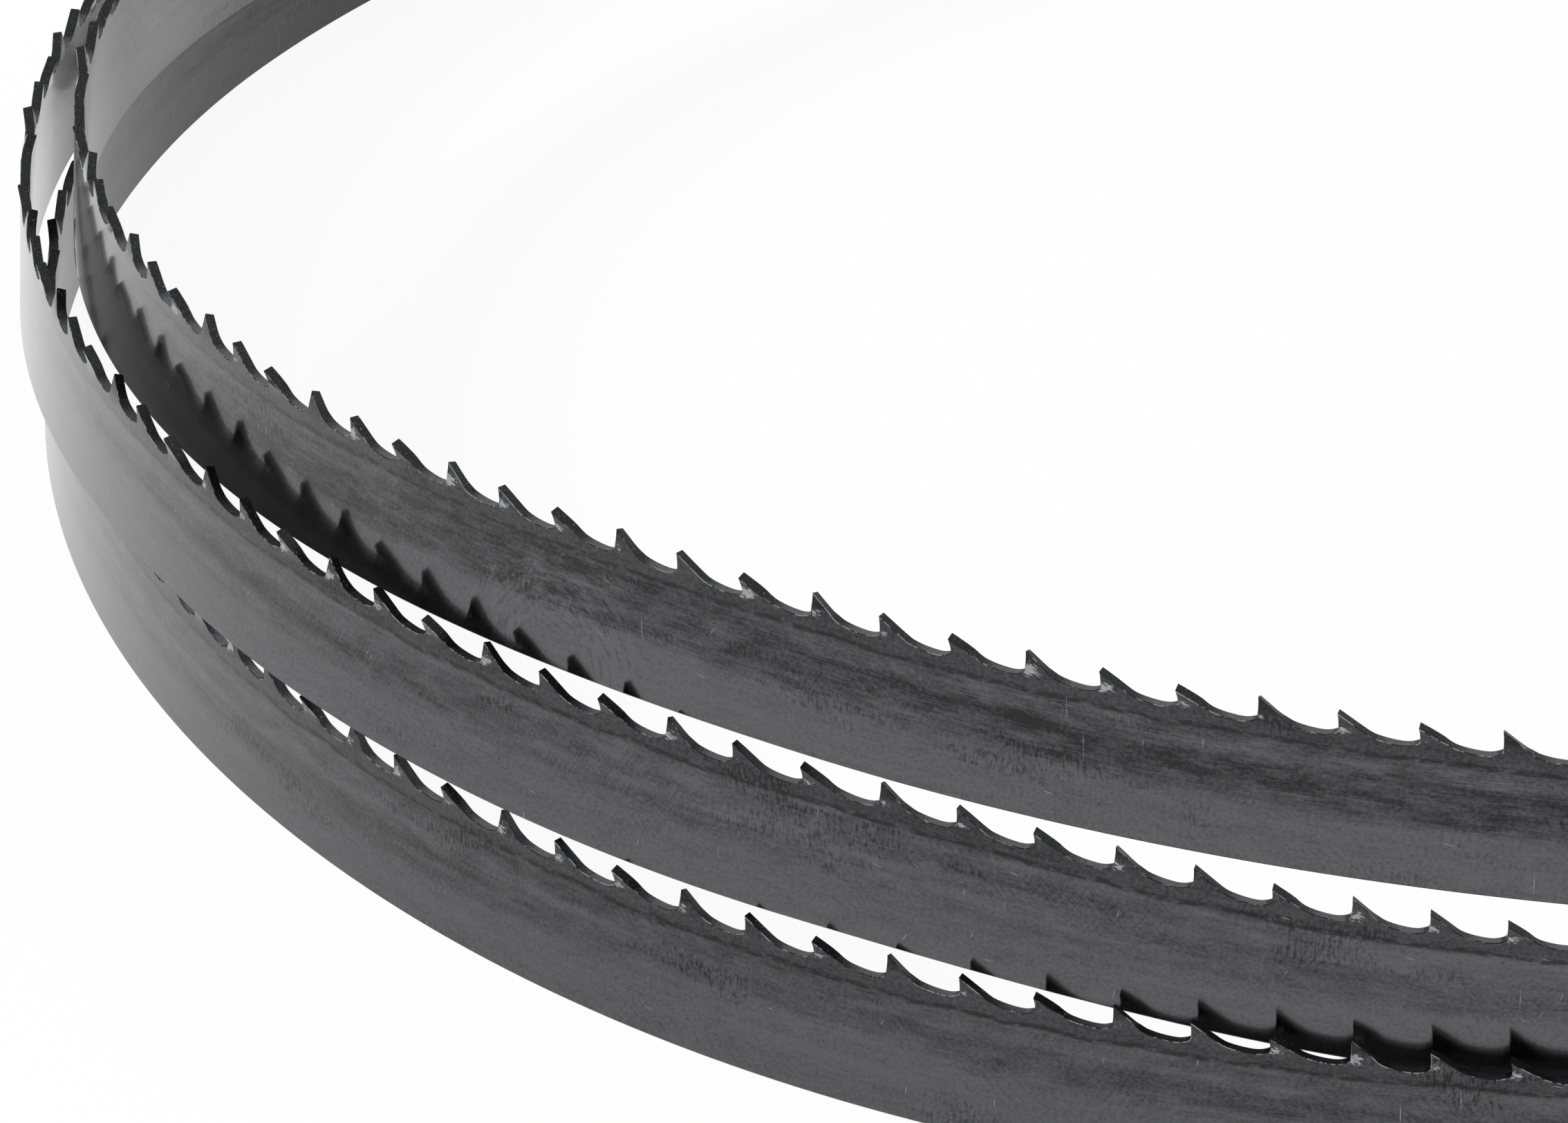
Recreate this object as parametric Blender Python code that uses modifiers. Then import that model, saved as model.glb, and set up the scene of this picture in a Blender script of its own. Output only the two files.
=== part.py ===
"""An endless band-saw blade, coiled into three loose passes.

The steel band stands on its back edge with the teeth upwards. Seen from above it runs
three times round, counter-clockwise: the lowest pass lies on the floor, the middle pass
climbs over it, the top pass climbs over both and comes down again to meet the start.
"""

import bmesh
import bpy
import numpy as np
from mathutils import Matrix

NAME = "band_saw_blade"

# Sizes of the band, in metres
BAND_WIDTH = 0.0095
BAND_THICKNESS = 0.0006
TOOTH_PITCH = 0.00423
TOOTH_DEPTH = 0.0013
TOOTH_SET = 0.00028

# Sideways lean of the teeth in turn: outwards, inwards, upright
SET_PATTERN = (1, -1, 0)

# Outline of one tooth and the gullet behind it, from the cutting face of the tooth to
# that of the next: share of the pitch from the tip, share of the depth above the gullet,
# share of the sideways lean
TOOTH_OUTLINE = (
    (0.02, 0.28, 0.0),
    (0.00, 1.00, 1.0),
    (0.37, 0.28, 0.0),
    (0.55, 0.08, 0.0),
    (0.80, 0.00, 0.0),
    (0.94, 0.08, 0.0),
)

# Mean radius of the coil, in metres
COIL_RADIUS = 0.0930

# The lay of the band over one whole run of three turns: angle in degrees, outward step
# in percent of the mean radius, height of the back edge in band widths
LAY = (
    (30, 6.0, 1.04),
    (90, 8.6, 0.48),
    (150, 3.4, 0.00),
    (180, -0.4, 0.00),
    (210, -1.2, 0.00),
    (240, -1.4, 0.00),
    (270, -3.7, 0.00),
    (330, 4.0, 0.00),
    (390, 9.9, 0.00),
    (450, 11.2, 0.20),
    (510, 5.6, 0.50),
    (540, 1.3, 0.75),
    (570, -0.2, 1.02),
    (600, -2.4, 1.02),
    (630, -5.8, 0.74),
    (690, -7.4, 0.74),
    (750, -7.7, 0.83),
    (810, -7.4, 0.99),
    (870, -5.3, 1.20),
    (900, -2.7, 1.47),
    (930, -2.8, 1.74),
    (960, -2.6, 2.07),
    (990, 0.0, 2.19),
    (1050, 2.7, 1.63),
)
TURNS = 3
RUN_DEGREES = 360.0 * TURNS

# Where the first tooth stands along the run, as a share of the pitch
FIRST_TOOTH = 0.44

# Steps used to measure the length of the run, per degree
STEPS_PER_DEGREE = 8

# Edges that turn more sharply than this stay crisp
CRISP_ANGLE = np.radians(25.0)

STEEL_COLOUR = (0.17, 0.17, 0.175, 1.0)
STEEL_ROUGHNESS = 0.30


def clear_scene():
    """Remove whatever stands in the scene."""
    for item in list(bpy.data.objects):
        bpy.data.objects.remove(item, do_unlink=True)


def steel():
    """Return the dark grey, lightly brushed steel of the band."""
    material = bpy.data.materials.new("blade_steel")
    material.use_nodes = True
    shader = material.node_tree.nodes["Principled BSDF"]
    shader.inputs["Base Color"].default_value = STEEL_COLOUR
    shader.inputs["Metallic"].default_value = 1.0
    shader.inputs["Roughness"].default_value = STEEL_ROUGHNESS
    return material


def closed_spline(angles, values):
    """Return a function for the smooth closed curve through the values."""
    count = len(angles)
    gaps = np.diff(np.append(angles, angles[0] + RUN_DEGREES))
    rises = np.diff(np.append(values, values[0])) / gaps
    system = np.zeros((count, count))
    for i in range(count):
        before = (i - 1) % count
        after = (i + 1) % count
        system[i, before] += gaps[before]
        system[i, i] += 2.0 * (gaps[before] + gaps[i])
        system[i, after] += gaps[i]
    bends = np.linalg.solve(system, 6.0 * (rises - np.roll(rises, 1)))

    def value_at(angle):
        local = np.mod(np.asarray(angle) - angles[0], RUN_DEGREES) + angles[0]
        i = np.searchsorted(angles, local, side="right") - 1
        after = (i + 1) % count
        x = local - angles[i]
        slope = rises[i] - gaps[i] * (2.0 * bends[i] + bends[after]) / 6.0
        curl = (bends[after] - bends[i]) / (6.0 * gaps[i])
        return values[i] + x * (slope + x * (bends[i] / 2.0 + x * curl))

    return value_at


def closed_ramp(angles, values):
    """Return a function for a closed curve that never dips below or rises above its points."""
    count = len(angles)
    gaps = np.diff(np.append(angles, angles[0] + RUN_DEGREES))
    rises = np.diff(np.append(values, values[0])) / gaps
    slopes = np.zeros(count)
    for i in range(count):
        before = (i - 1) % count
        if rises[before] * rises[i] > 0.0:
            near = 2.0 * gaps[i] + gaps[before]
            far = gaps[i] + 2.0 * gaps[before]
            slopes[i] = (near + far) / (near / rises[before] + far / rises[i])

    def value_at(angle):
        local = np.mod(np.asarray(angle) - angles[0], RUN_DEGREES) + angles[0]
        i = np.searchsorted(angles, local, side="right") - 1
        after = (i + 1) % count
        share = (local - angles[i]) / gaps[i]
        left = 1.0 - share
        start = values[i] * (1.0 + 2.0 * share) + slopes[i] * gaps[i] * share
        end = values[after] * (1.0 + 2.0 * left) - slopes[after] * gaps[i] * left
        return start * left**2 + end * share**2

    return value_at


class Run:
    """The line of the back edge round all three turns."""

    def __init__(self):
        angles = np.array([point[0] for point in LAY], float)
        steps = np.array([point[1] for point in LAY], float) / 100.0
        heights = np.array([point[2] for point in LAY], float)
        self.radius_at = closed_spline(angles, COIL_RADIUS * (1.0 + steps))
        self.height_at = closed_ramp(angles, heights * BAND_WIDTH)
        self.angles = np.linspace(0.0, RUN_DEGREES, int(RUN_DEGREES * STEPS_PER_DEGREE) + 1)
        line = self.point_at(self.angles)
        strides = np.linalg.norm(np.diff(line, axis=0), axis=1)
        self.lengths = np.append(0.0, np.cumsum(strides))
        self.length = self.lengths[-1]

    def point_at(self, angle):
        """Return points of the back edge at angles in degrees."""
        turn = np.radians(angle)
        radius = self.radius_at(angle)
        return np.stack(
            (radius * np.cos(turn), radius * np.sin(turn), self.height_at(angle)), axis=-1
        )

    def stand_at(self, distance):
        """Return the back edge point, the upward and the outward direction at a distance."""
        angle = np.interp(distance % self.length, self.lengths, self.angles)
        reach = 0.5 / STEPS_PER_DEGREE
        ahead = self.point_at(angle + reach) - self.point_at(angle - reach)
        ahead /= np.linalg.norm(ahead)
        upward = np.array((0.0, 0.0, 1.0)) - ahead[2] * ahead
        upward /= np.linalg.norm(upward)
        return self.point_at(angle), upward, np.cross(ahead, upward)


def tooth_points():
    """Return the outline of one tooth with its heights measured from the back edge."""
    gullet = BAND_WIDTH - TOOTH_DEPTH
    return [(share, gullet + rise * TOOTH_DEPTH, bent) for share, rise, bent in TOOTH_OUTLINE]


def build_sheet(run):
    """Build the middle surface of the band and return it with its back edge vertices."""
    group = len(SET_PATTERN)
    count = group * round(run.length / TOOTH_PITCH / group)
    pitch = run.length / count
    sheet = bmesh.new()
    backs = []
    rows = []
    for index in range(count):
        start = (index + FIRST_TOOTH) * pitch
        lean = SET_PATTERN[index % group] * TOOTH_SET
        backs.append(sheet.verts.new(run.stand_at(start)[0]))
        row = []
        for share, height, bent in tooth_points():
            foot, upward, outward = run.stand_at(start + share * pitch)
            row.append(sheet.verts.new(foot + height * upward + bent * lean * outward))
        rows.append(row)
    for index, row in enumerate(rows):
        face_foot, tip, slope_end, sweep, gullet, rounding = row
        after = (index + 1) % count
        back, next_back, next_foot = backs[index], backs[after], rows[after][0]
        sheet.faces.new((face_foot, slope_end, tip))
        sheet.faces.new((face_foot, back, slope_end))
        sheet.faces.new((slope_end, back, next_back))
        sheet.faces.new((slope_end, next_back, sweep))
        sheet.faces.new((sweep, next_back, gullet))
        sheet.faces.new((gullet, next_back, rounding))
        sheet.faces.new((rounding, next_back, next_foot))
    sheet.verts.index_update()
    back_heights = {vert.index: vert.co.z for vert in backs}
    mesh = bpy.data.meshes.new(NAME)
    sheet.to_mesh(mesh)
    sheet.free()
    return mesh, back_heights


def thicken(blade, back_heights):
    """Give the sheet its thickness and stand both corners of the back edge level."""
    solidify = blade.modifiers.new("band_thickness", "SOLIDIFY")
    solidify.thickness = BAND_THICKNESS
    solidify.offset = 0.0
    solidify.use_even_offset = True
    solidify.use_rim = True
    sheet = blade.data
    sheet_size = len(sheet.vertices)
    evaluated = blade.evaluated_get(bpy.context.evaluated_depsgraph_get())
    solid = bpy.data.meshes.new_from_object(evaluated)
    blade.modifiers.clear()
    blade.data = solid
    bpy.data.meshes.remove(sheet)
    solid.name = NAME
    for index, height in back_heights.items():
        solid.vertices[index].co.z = height
        solid.vertices[index + sheet_size].co.z = height


def centre_over_origin(mesh):
    """Move the mesh sideways until its box is centred over the origin."""
    points = np.array([vert.co for vert in mesh.vertices])
    middle = (points.min(axis=0) + points.max(axis=0)) / 2.0
    mesh.transform(Matrix.Translation((-middle[0], -middle[1], 0.0)))


def main():
    """Build the blade."""
    clear_scene()
    collection = bpy.data.collections.new(NAME)
    bpy.context.scene.collection.children.link(collection)
    mesh, back_heights = build_sheet(Run())
    mesh.materials.append(steel())
    blade = bpy.data.objects.new(NAME, mesh)
    collection.objects.link(blade)
    thicken(blade, back_heights)
    centre_over_origin(blade.data)
    blade.data.shade_smooth()
    blade.data.set_sharp_from_angle(angle=CRISP_ANGLE)


main()
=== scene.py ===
"""A band-saw blade, folded into three loose passes, on a pale studio floor.

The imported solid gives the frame. One finely made blade stands in for it: the same run of
three passes, with rounded gullets, bent teeth and broken edges, in rolled and milled steel.
"""

import logging
import math
from dataclasses import dataclass
from enum import Enum

import bpy
import numpy as np
from mathutils import Matrix, Vector


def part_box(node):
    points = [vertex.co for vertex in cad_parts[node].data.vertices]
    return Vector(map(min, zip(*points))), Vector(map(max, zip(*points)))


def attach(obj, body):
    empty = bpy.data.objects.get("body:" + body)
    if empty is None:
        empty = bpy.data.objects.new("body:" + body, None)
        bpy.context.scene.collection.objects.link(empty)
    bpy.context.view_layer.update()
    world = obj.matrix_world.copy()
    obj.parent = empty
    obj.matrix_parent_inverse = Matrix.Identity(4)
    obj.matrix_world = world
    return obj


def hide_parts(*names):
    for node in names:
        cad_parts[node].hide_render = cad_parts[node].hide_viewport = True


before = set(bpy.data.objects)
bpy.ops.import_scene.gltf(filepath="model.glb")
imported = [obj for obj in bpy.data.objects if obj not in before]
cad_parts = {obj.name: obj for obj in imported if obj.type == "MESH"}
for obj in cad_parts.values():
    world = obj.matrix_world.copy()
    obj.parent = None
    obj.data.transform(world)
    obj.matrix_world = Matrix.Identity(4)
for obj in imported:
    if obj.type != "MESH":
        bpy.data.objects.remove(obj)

LOG = logging.getLogger("band_saw_blade")
logging.basicConfig(level=logging.INFO, format="%(name)s: %(message)s")

NODE = "band_saw_blade"
RUN_DEGREES = 1080.0
# The UV map that holds the band's own coordinates
UNROLLED = "band"
# Millimetres in a metre
MM = 1000.0

# A node's output, and what a node's inputs are linked or set to
Socket = bpy.types.NodeSocket
Inputs = dict[int | str, object]

# The lay of the band over three turns: angle in degrees, outward step in percent of the
# mean radius, height of the back edge in band widths
LAY = (
    (30, 6.0, 1.04), (90, 8.6, 0.48), (150, 3.4, 0.00), (180, -0.4, 0.00),
    (210, -1.2, 0.00), (240, -1.4, 0.00), (270, -3.7, 0.00), (330, 4.0, 0.00),
    (390, 9.9, 0.00), (450, 11.2, 0.20), (510, 5.6, 0.50), (540, 1.3, 0.75),
    (570, -0.2, 1.02), (600, -2.4, 1.02), (630, -5.8, 0.74), (690, -7.4, 0.74),
    (750, -7.7, 0.83), (810, -7.4, 0.99), (870, -5.3, 1.20), (900, -2.7, 1.47),
    (930, -2.8, 1.74), (960, -2.6, 2.07), (990, 0.0, 2.19), (1050, 2.7, 1.63),
)


class Surface(Enum):
    """The surfaces of the blade, in the order of its material slots."""

    FACE = 0
    CUT = 1
    CORNER = 2
    BACK = 3


def linear(hex_colour: str) -> tuple[float, float, float, float]:
    """Turn an sRGB hex colour into linear light.

    Args:
        hex_colour: A colour such as "#a0b0c0".

    Returns:
        Red, green, blue and alpha in linear light.
    """
    channels = []
    for start in (1, 3, 5):
        value = int(hex_colour[start : start + 2], 16) / 255.0
        low = value / 12.92
        high = ((value + 0.055) / 1.055) ** 2.4
        channels.append(low if value <= 0.04045 else high)
    return channels[0], channels[1], channels[2], 1.0


def fill_inputs(tree: bpy.types.NodeTree, node: bpy.types.Node, inputs: Inputs) -> None:
    """Give a node's inputs their values and links.

    Args:
        tree: The tree that holds the node.
        node: The node to fill.
        inputs: A socket to link or a value to set, by the input's name or number.
    """
    for name, value in inputs.items():
        if isinstance(value, Socket):
            tree.links.new(value, node.inputs[name])
        else:
            node.inputs[name].default_value = value


def add_node(
    tree: bpy.types.NodeTree, kind: str, inputs: Inputs, output: int | str = 0, **settings: object
) -> Socket:
    """Add one node with its settings and links.

    Args:
        tree: The tree that takes the node.
        kind: The node's type, without its "ShaderNode".
        inputs: A socket to link or a value to set, by the input's name or number.
        output: The output that is wanted.
        settings: The node's own settings.

    Returns:
        The wanted output.
    """
    node = tree.nodes.new("ShaderNode" + kind)
    for name, value in settings.items():
        setattr(node, name, value)
    fill_inputs(tree, node, inputs)
    return node.outputs[output]


@dataclass(frozen=True)
class Band:
    """Sizes of the band and its teeth, in metres."""

    width: float = 0.0095
    thickness: float = 0.0006
    nominal_pitch: float = 0.00423
    tooth_depth: float = 0.0013
    tooth_set: float = 0.00028
    set_pattern: tuple[int, ...] = (1, -1, 0)
    first_tooth: float = 0.44
    coil_radius: float = 0.0930
    edge_break: float = 0.000035
    back_break: float = 0.00009
    weld_at: float = 1.5378

    @property
    def gullet_height(self) -> float:
        """Height of the lowest point of the gullets."""
        return self.width - self.tooth_depth


@dataclass
class Run:
    """The line of the back edge round all three turns."""

    band: Band
    lay: tuple[tuple[float, float, float], ...] = LAY
    steps_per_degree: int = 8

    def __post_init__(self) -> None:
        """Measure the run and share it out among the teeth."""
        band = self.band
        self.angles = np.array([point[0] for point in self.lay], float)
        steps = np.array([point[1] for point in self.lay], float) / 100.0
        self.radii = band.coil_radius * (1.0 + steps)
        self.heights = np.array([point[2] for point in self.lay], float) * band.width
        self.gaps = np.diff(np.append(self.angles, self.angles[0] + RUN_DEGREES))
        self.bends = self._spline_bends(self.radii)
        self.slopes = self._ramp_slopes(self.heights)
        count = int(RUN_DEGREES * self.steps_per_degree) + 1
        self.fine_angles = np.linspace(0.0, RUN_DEGREES, count)
        line = self.points(self.fine_angles)
        strides = np.linalg.norm(np.diff(line, axis=0), axis=1)
        self.lengths = np.append(0.0, np.cumsum(strides))
        self.length = float(self.lengths[-1])
        group = len(band.set_pattern)
        self.teeth = group * round(self.length / band.nominal_pitch / group)
        self.pitch = self.length / self.teeth

    def _spline_bends(self, values: np.ndarray) -> np.ndarray:
        """Find how a smooth closed curve bends at each of its points.

        Args:
            values: The values that the curve goes through.

        Returns:
            The second derivative at each point.
        """
        count = len(values)
        rises = np.diff(np.append(values, values[0])) / self.gaps
        system = np.zeros((count, count))
        for i in range(count):
            before = (i - 1) % count
            after = (i + 1) % count
            system[i, before] += self.gaps[before]
            system[i, i] += 2.0 * (self.gaps[before] + self.gaps[i])
            system[i, after] += self.gaps[i]
        return np.linalg.solve(system, 6.0 * (rises - np.roll(rises, 1)))

    def _ramp_slopes(self, values: np.ndarray) -> np.ndarray:
        """Find the slopes of a closed curve that never leaves the range of its points.

        Args:
            values: The values that the curve goes through.

        Returns:
            The slope at each point.
        """
        count = len(values)
        rises = np.diff(np.append(values, values[0])) / self.gaps
        slopes = np.zeros(count)
        for i in range(count):
            before = (i - 1) % count
            if rises[before] * rises[i] > 0.0:
                near = 2.0 * self.gaps[i] + self.gaps[before]
                far = self.gaps[i] + 2.0 * self.gaps[before]
                slopes[i] = (near + far) / (near / rises[before] + far / rises[i])
        return slopes

    def points(self, angle: np.ndarray) -> np.ndarray:
        """Find points of the back edge.

        Args:
            angle: Angles round the coil in degrees.

        Returns:
            One point for each angle.
        """
        local = np.mod(angle - self.angles[0], RUN_DEGREES) + self.angles[0]
        i = np.searchsorted(self.angles, local, side="right") - 1
        after = (i + 1) % len(self.angles)
        gap = self.gaps[i]
        x = local - self.angles[i]
        rise = (self.radii[after] - self.radii[i]) / gap
        slope = rise - gap * (2.0 * self.bends[i] + self.bends[after]) / 6.0
        curl = (self.bends[after] - self.bends[i]) / (6.0 * gap)
        radius = self.radii[i] + x * (slope + x * (self.bends[i] / 2.0 + x * curl))
        share = x / gap
        left = 1.0 - share
        start = self.heights[i] * (1.0 + 2.0 * share) + self.slopes[i] * gap * share
        end = self.heights[after] * (1.0 + 2.0 * left) - self.slopes[after] * gap * left
        height = start * left**2 + end * share**2
        turn = np.radians(angle)
        return np.stack((radius * np.cos(turn), radius * np.sin(turn), height), axis=-1)

    def stands(self, distance: np.ndarray) -> tuple[np.ndarray, np.ndarray, np.ndarray]:
        """Find how the band stands along the run.

        Args:
            distance: Distances in metres; they wrap round at the run's length.

        Returns:
            The points of the back edge, and the upward and the outward directions.
        """
        angle = np.interp(np.mod(distance, self.length), self.lengths, self.fine_angles)
        reach = 0.5 / self.steps_per_degree
        ahead = self.points(angle + reach) - self.points(angle - reach)
        ahead /= np.linalg.norm(ahead, axis=-1, keepdims=True)
        upward = np.array((0.0, 0.0, 1.0)) - ahead[..., 2:3] * ahead
        upward /= np.linalg.norm(upward, axis=-1, keepdims=True)
        return self.points(angle), upward, np.cross(ahead, upward)


class Texture(Enum):
    """How the grains of a pattern lie."""

    CLOUD = "TexNoise"
    CELLS = "TexVoronoi"


@dataclass(frozen=True)
class Ramp:
    """A share that goes from low to high while what it reads goes from start to end."""

    start: float
    end: float
    low: float = 0.0
    high: float = 1.0

    def reading(self, value: Socket) -> Inputs:
        """Return the inputs of a MapRange node that reads a value."""
        return {0: value, 1: self.start, 2: self.end, 3: self.low, 4: self.high}


@dataclass(frozen=True)
class Pattern:
    """A pattern on the unrolled band, its grains so long and so wide in millimetres."""

    length: float
    width: float
    turn: float = 0.0
    shift: float = 0.0
    detail: float = 3.0
    coarseness: float = 0.55
    # How far one unit of shift moves the pattern, so that no two patterns lie alike
    stride: tuple[float, float] = (41.0, 17.0)

    def lay(self, flat: "FlatBand", texture: Texture = Texture.CLOUD) -> Socket:
        """Lay the pattern on the band.

        Args:
            flat: The unrolled band of one material.
            texture: How the grains lie.

        Returns:
            Soft light and dark for a cloud, or the distance from each cell's middle.
        """
        place = {
            "Vector": flat.place,
            "Location": (self.stride[0] * self.shift, self.stride[1] * self.shift, 0.0),
            "Rotation": (0.0, 0.0, math.radians(self.turn)),
            "Scale": (self.length, self.width, 1.0),
        }
        stretched = add_node(flat.tree, "Mapping", place, vector_type="TEXTURE")
        grains = {"Vector": stretched, "Scale": 1.0}
        if texture is Texture.CELLS:
            return add_node(flat.tree, texture.value, grains, voronoi_dimensions="2D")
        grains.update({"Detail": self.detail, "Roughness": self.coarseness})
        return add_node(flat.tree, texture.value, grains, noise_dimensions="2D")


@dataclass(frozen=True)
class Grain:
    """A pattern of the skin, its strength everywhere, and what busier parts of the band add."""

    pattern: Pattern
    everywhere: float
    busy: float = 0.0
    near_weld: float = 0.0


@dataclass(frozen=True)
class Scatter:
    """One small mark in some of a pattern's cells.

    The reach is half the size of a mark, as a share of its cell, and a mark is full over
    the core of its reach. The rarity is the share of the cells that stay empty.
    """

    cells: Pattern
    reach: float
    rarity: float
    core: float = 0.5

    def draw(self, flat: "FlatBand") -> Socket:
        """Draw the marks.

        Args:
            flat: The unrolled band of one material.

        Returns:
            One on a mark and nought beside it.
        """
        distance = self.cells.lay(flat, Texture.CELLS)
        chance = add_node(flat.tree, "SeparateColor", {0: distance.node.outputs["Color"]})
        kept = {0: chance, 1: self.rarity}
        chosen = add_node(flat.tree, "Math", kept, operation="GREATER_THAN")
        near = Ramp(self.reach, self.reach * self.core).reading(distance)
        return add_node(flat.tree, "MapRange", {**near, 4: chosen})


class FlatBand:
    """The band unrolled on a plane, in millimetres, as the nodes of one material read it."""

    def __init__(self, tree: bpy.types.NodeTree, run: Run) -> None:
        """Read the band's own coordinates.

        Args:
            tree: The material's node tree.
            run: The run that is unrolled.
        """
        self.tree = tree
        self.run = run
        self.pitch = run.pitch * MM
        self.gullet_height = run.band.gullet_height * MM
        unrolled = add_node(tree, "UVMap", {}, uv_map=UNROLLED)
        scale = {0: unrolled, 1: (MM, MM, 0.0)}
        self.place = add_node(tree, "VectorMath", scale, operation="MULTIPLY")
        self.along = add_node(tree, "SeparateXYZ", {0: self.place})
        self.height = self.along.node.outputs[1]

    def from_weld(self) -> Socket:
        """Measure along the band from the weld.

        Returns:
            The distance in millimetres, less than nought before the weld.
        """
        whole = self.run.length * MM
        half = {0: self.along, 1: whole / 2.0}
        late = add_node(self.tree, "Math", half, operation="GREATER_THAN")
        wrap = {0: late, 1: -whole, 2: self.along}
        return add_node(self.tree, "Math", wrap, operation="MULTIPLY_ADD")

    def pitches(self) -> Socket:
        """Measure along the band in tooth pitches.

        Returns:
            The distance, a whole number at each tooth's tip.
        """
        start = (self.run.band.weld_at / self.run.pitch) - self.run.band.first_tooth
        count = {0: self.along, 1: 1.0 / self.pitch, 2: start}
        return add_node(self.tree, "Math", count, operation="MULTIPLY_ADD")

    def overlap(self, *shares: Socket | float) -> Socket:
        """Find where shares meet.

        Args:
            shares: Sockets or numbers.

        Returns:
            Their product, nought where any of them is.
        """
        product = shares[0]
        for share in shares[1:]:
            product = add_node(self.tree, "Math", {0: product, 1: share}, operation="MULTIPLY")
        return product

    def within(self, *limits: tuple[Ramp, Socket]) -> Socket:
        """Find where several values are within their limits, with eased edges.

        Args:
            limits: Ramps, each with the value that it reads.

        Returns:
            The overlap of what the ramps give.
        """
        eased = {"interpolation_type": "SMOOTHSTEP"}
        shares = (add_node(self.tree, "MapRange", ramp.reading(of), **eased) for ramp, of in limits)
        return self.overlap(*shares)

    def weigh(self, level: Socket | float, parts: list[tuple[Socket, Socket | float]]) -> Socket:
        """Add weighted shares to a starting level.

        Args:
            level: A socket or number to start from.
            parts: Shares and their weights, each a socket or number.

        Returns:
            The sum.
        """
        total = level
        for share, weight in parts:
            step = {0: share, 1: weight, 2: total}
            total = add_node(self.tree, "Math", step, operation="MULTIPLY_ADD")
        return total

    def paint(self, base: str, coats: tuple[tuple[Socket, str], ...]) -> Socket:
        """Lay colours over one another.

        Args:
            base: The hex colour at the bottom.
            coats: How far each colour covers what is below it, and its hex colour.

        Returns:
            The colour that is seen.
        """
        colour = linear(base)
        for share, coat in coats:
            blend = {0: share, 6: colour, 7: linear(coat)}
            colour = add_node(self.tree, "Mix", blend, 2, data_type="RGBA")
        return colour


class Steel:
    """What the finishes of the blade share: each is bare or oiled carbon steel."""

    def material(self, name: str, run: Run) -> bpy.types.Material:
        """Make the finish's material.

        Args:
            name: The material's name.
            run: The run of the band, for its teeth and weld.

        Returns:
            The finished material.
        """
        material = bpy.data.materials.new(name)
        material.use_nodes = True
        tree = material.node_tree
        shader = {"Metallic": 1.0, **self.surface(FlatBand(tree, run))}
        fill_inputs(tree, tree.nodes["Principled BSDF"], shader)
        return material

    def surface(self, flat: FlatBand) -> Inputs:
        """Give the metal's shader what a finish needs, in each finish its own way."""
        raise NotImplementedError


@dataclass(frozen=True)
class WeldGrinding:
    """Where the weld was ground flush: arcs round the wheel's hub, strokes across the band.

    To the eye the wheel's scores are a little brighter or darker than the skin. Places are
    in millimetres along the band from the weld and up from its back edge.
    """

    hub: tuple[float, float] = (13.5, 0.6)
    # The wheel scores rings about 0.3 mm apart, 3.6 lengths of them to a radian
    ring_spacing: float = 0.30
    ring_lengths: float = 3.6
    ring_detail: float = 3.0
    ring_coarseness: float = 0.6
    rings: Ramp = Ramp(0.25, 0.75, -0.6, 0.8)
    # The arcs show between two reaches from the hub, and up to the hardened teeth
    arc_start: Ramp = Ramp(1.5, 3.0)
    arc_end: Ramp = Ramp(8.0, 4.5)
    arc_top: Ramp = Ramp(7.6, 6.6)
    strokes: Pattern = Pattern(0.14, 2.5, shift=13.9)
    stroke_shows: Ramp = Ramp(0.45, 0.7)
    stroke_reach: Ramp = Ramp(2.2, 0.4, high=0.35)

    def draw(self, flat: FlatBand) -> Socket:
        """Draw the arcs and the strokes.

        Args:
            flat: The unrolled band.

        Returns:
            More than nought on a bright stroke, less on a dark one.
        """
        tree = flat.tree
        from_weld = flat.from_weld()
        across = add_node(tree, "Math", {0: from_weld, 1: self.hub[0]}, operation="SUBTRACT")
        upward = add_node(tree, "Math", {0: flat.height, 1: self.hub[1]}, operation="SUBTRACT")
        from_hub = add_node(tree, "CombineXYZ", {0: across, 1: upward})
        reach = add_node(tree, "VectorMath", {0: from_hub}, "Value", operation="LENGTH")
        turn = add_node(tree, "Math", {0: upward, 1: across}, operation="ARCTAN2")
        ring = add_node(tree, "Math", {0: reach, 1: self.ring_spacing}, operation="DIVIDE")
        part = add_node(tree, "Math", {0: turn, 1: self.ring_lengths}, operation="MULTIPLY")
        scores = {
            "Vector": add_node(tree, "CombineXYZ", {0: ring, 1: part}),
            "Scale": 1.0,
            "Detail": self.ring_detail,
            "Roughness": self.ring_coarseness,
        }
        rings = add_node(tree, "TexNoise", scores, noise_dimensions="2D")
        scored = add_node(tree, "MapRange", self.rings.reading(rings))
        limits = ((self.arc_start, reach), (self.arc_end, reach), (self.arc_top, flat.height))
        arcs = flat.overlap(scored, flat.within(*limits))
        near = add_node(tree, "Math", {0: from_weld}, operation="ABSOLUTE")
        strokes = self.strokes.lay(flat)
        strokes = flat.within((self.stroke_shows, strokes), (self.stroke_reach, near))
        return add_node(tree, "Math", {0: arcs, 1: strokes}, operation="ADD")


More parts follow.
